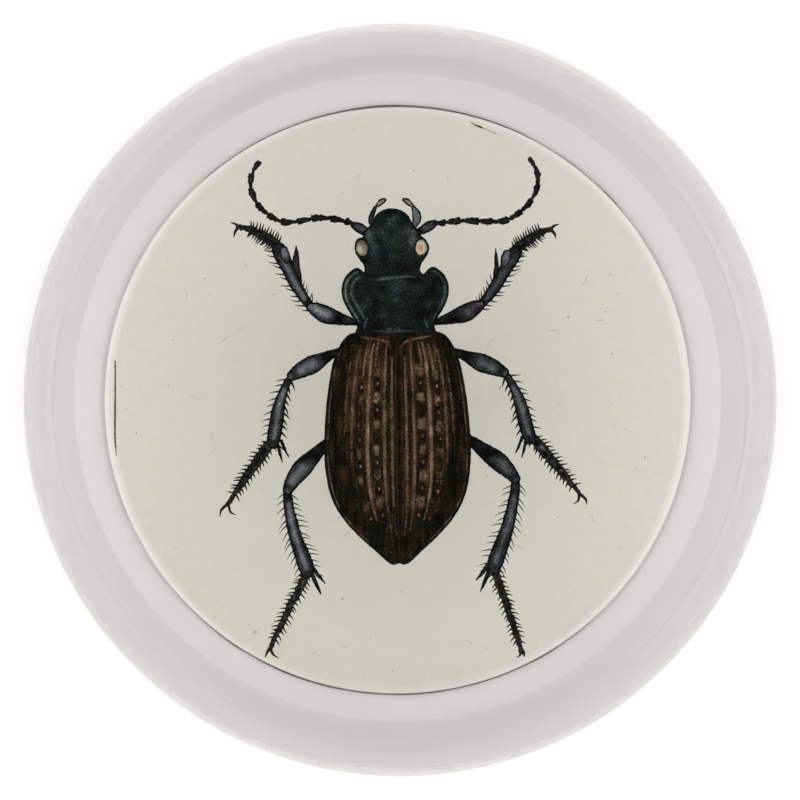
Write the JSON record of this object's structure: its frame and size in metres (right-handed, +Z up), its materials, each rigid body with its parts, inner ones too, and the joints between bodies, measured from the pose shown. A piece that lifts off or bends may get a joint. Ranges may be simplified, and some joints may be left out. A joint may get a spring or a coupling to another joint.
{
  "type": "glass dome paperweight",
  "caption": "Solid clear glass dome paperweight with a beetle picture on a paper sheet glued under its flat base and a felt pad beneath, to hold papers down.",
  "frame": {"origin": "centre of the felt pad's underside, on the surface that the weight stands on", "axes": "+Z up through the crown of the dome; +Y towards the head of the printed beetle, +X to its right as seen from above"},
  "size_m": [0.089, 0.089, 0.0278],
  "materials": {
    "clear_glass": "polished, clear and colourless, with a faint grey tint in its depth",
    "printed_paper": "matt cream laid paper with a hand-coloured beetle figure in dark inks",
    "dark_felt": "matt pressed wool felt"
  },
  "bodies": {
    "root": {"glass_dome": "clear_glass", "print_sheet": "printed_paper", "felt_pad": "dark_felt"}
  },
  "joints": []
}
